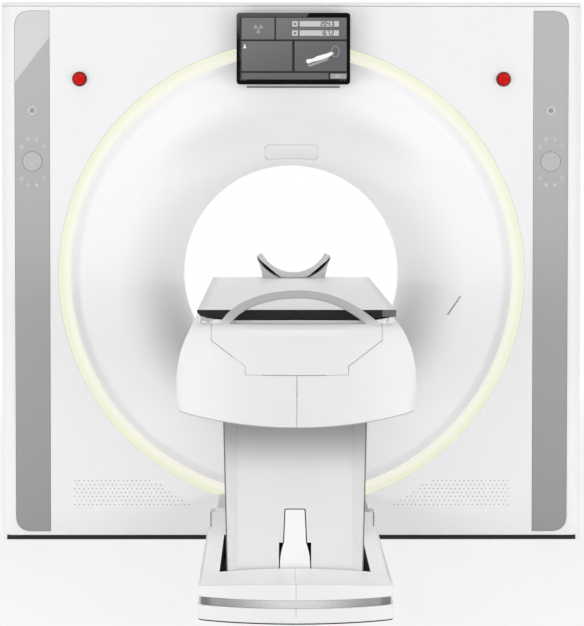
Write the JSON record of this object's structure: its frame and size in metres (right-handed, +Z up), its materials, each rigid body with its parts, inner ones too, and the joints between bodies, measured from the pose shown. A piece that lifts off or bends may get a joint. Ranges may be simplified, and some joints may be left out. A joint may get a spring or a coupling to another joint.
{
  "type": "ct scanner",
  "caption": "Whole-body CT scanner: square gantry with a dished front and round bore, and a patient table on a lifting column.",
  "frame": {"origin": "on the floor under the middle of the scan plane, at the centre of the gantry's four anchor holes", "axes": "+Y into the bore from the table's foot, +Z up, +X to the right for someone at the table's foot"},
  "size_m": [1.85, 2.965, 1.716],
  "materials": {
    "cover": "satin",
    "dish": "satin",
    "grey_cover": "gloss",
    "strip_glass": "gloss",
    "light_ring": "satin",
    "window": "satin",
    "dark_plastic": "matte",
    "screen": "gloss",
    "stop_red": "gloss",
    "disc_grey": "satin",
    "frame_steel": "satin",
    "plinth": "matte",
    "rotor_paint": "satin",
    "steel": "satin",
    "trim_silver": "satin",
    "rubber": "matte",
    "tabletop_skin": "satin",
    "handle_grey": "satin",
    "pad": "matte"
  },
  "bodies": {
    "scanner": {"gantry_floor_frame": "plinth", "stator_frame": "frame_steel", "front_cover": "cover", "front_funnel": "dish", "ring_light": "light_ring", "dish_windows": "window", "scan_window": "window", "rear_cover": "cover", "rear_funnel": "dish", "left_side_cover": "cover", "right_side_cover": "cover", "top_cover": "cover", "left_control_strip": "strip_glass", "right_control_strip": "strip_glass", "intercom_lenses": "dark_plastic", "stop_collars": "dark_plastic", "switch_blocks": "dark_plastic", "monitor_bracket": "grey_cover", "monitor_housing": "dark_plastic", "monitor_screen": "screen", "brush_block": "dark_plastic", "table_floor_frame": "frame_steel", "base_cover_left": "cover", "base_cover_right": "cover", "base_trim": "trim_silver", "column_front_panel": "cover", "column_rear_cover": "cover", "notch_post": "cover", "duct_cover": "grey_cover", "lift_outer_tube": "frame_steel", "lift_actuator": "frame_steel"},
    "rotor": {"rotor_drum": "rotor_paint", "xray_tube": "rotor_paint", "collimator": "rotor_paint", "detector_arc": "rotor_paint", "hv_generator": "rotor_paint", "cooling_unit": "rotor_paint", "balance_weights": "frame_steel"},
    "left_stop": {"left_stop_head": "stop_red"},
    "right_stop": {"right_stop_head": "stop_red"},
    "left_disc": {"left_control_disc": "disc_grey"},
    "right_disc": {"right_control_disc": "disc_grey"},
    "table_upper": {"lift_inner_tube": "steel", "lift_rod": "steel", "upper_frame": "frame_steel", "guide_rails": "steel", "slide_motor": "frame_steel", "slide_belt": "rubber", "shroud_left": "cover", "shroud_right": "cover", "shroud_inset_panel": "cover", "handle": "handle_grey"},
    "drive_pulley": {"slide_pulley": "steel"},
    "roller": {"support_roller": "steel"},
    "patient_top": {"tabletop": "tabletop_skin", "carriage": "steel", "head_rest_shell": "dark_plastic", "head_rest_pad": "pad"}
  },
  "joints": [
    {"name": "rotor_spin", "type": "hinge", "parent": "scanner", "child": "rotor", "pos_m": [0, 0, 0.848], "axis": [0, 1, 0], "continuous": true},
    {"name": "table_lift", "type": "slide", "parent": "scanner", "child": "table_upper", "axis": [0, 0, 1], "range_m": [-0.18, 0]},
    {"name": "tabletop_slide", "type": "slide", "parent": "table_upper", "child": "patient_top", "axis": [0, 1, 0], "range_m": [0, 1.45]},
    {"name": "pulley_spin", "type": "hinge", "parent": "table_upper", "child": "drive_pulley", "pos_m": [0.125, -2.23, 0.79], "axis": [0, 0, 1], "continuous": true},
    {"name": "roller_spin", "type": "hinge", "parent": "table_upper", "child": "roller", "pos_m": [0, -0.64, 0.7937], "axis": [1, 0, 0], "continuous": true},
    {"name": "left_stop_press", "type": "slide", "parent": "scanner", "child": "left_stop", "axis": [0, 1, 0], "range_m": [0, 0.004], "stiffness_N_per_m": 1500},
    {"name": "right_stop_press", "type": "slide", "parent": "scanner", "child": "right_stop", "axis": [0, 1, 0], "range_m": [0, 0.004], "stiffness_N_per_m": 1500},
    {"name": "left_disc_press", "type": "slide", "parent": "scanner", "child": "left_disc", "axis": [0, 1, 0], "range_m": [0, 0.0015], "stiffness_N_per_m": 2000},
    {"name": "right_disc_press", "type": "slide", "parent": "scanner", "child": "right_disc", "axis": [0, 1, 0], "range_m": [0, 0.0015], "stiffness_N_per_m": 2000}
  ],
  "couplings": [
    {"joint": "pulley_spin", "follows": "tabletop_slide", "rad_per_m": 37.736},
    {"joint": "roller_spin", "follows": "tabletop_slide", "rad_per_m": -90.909}
  ]
}
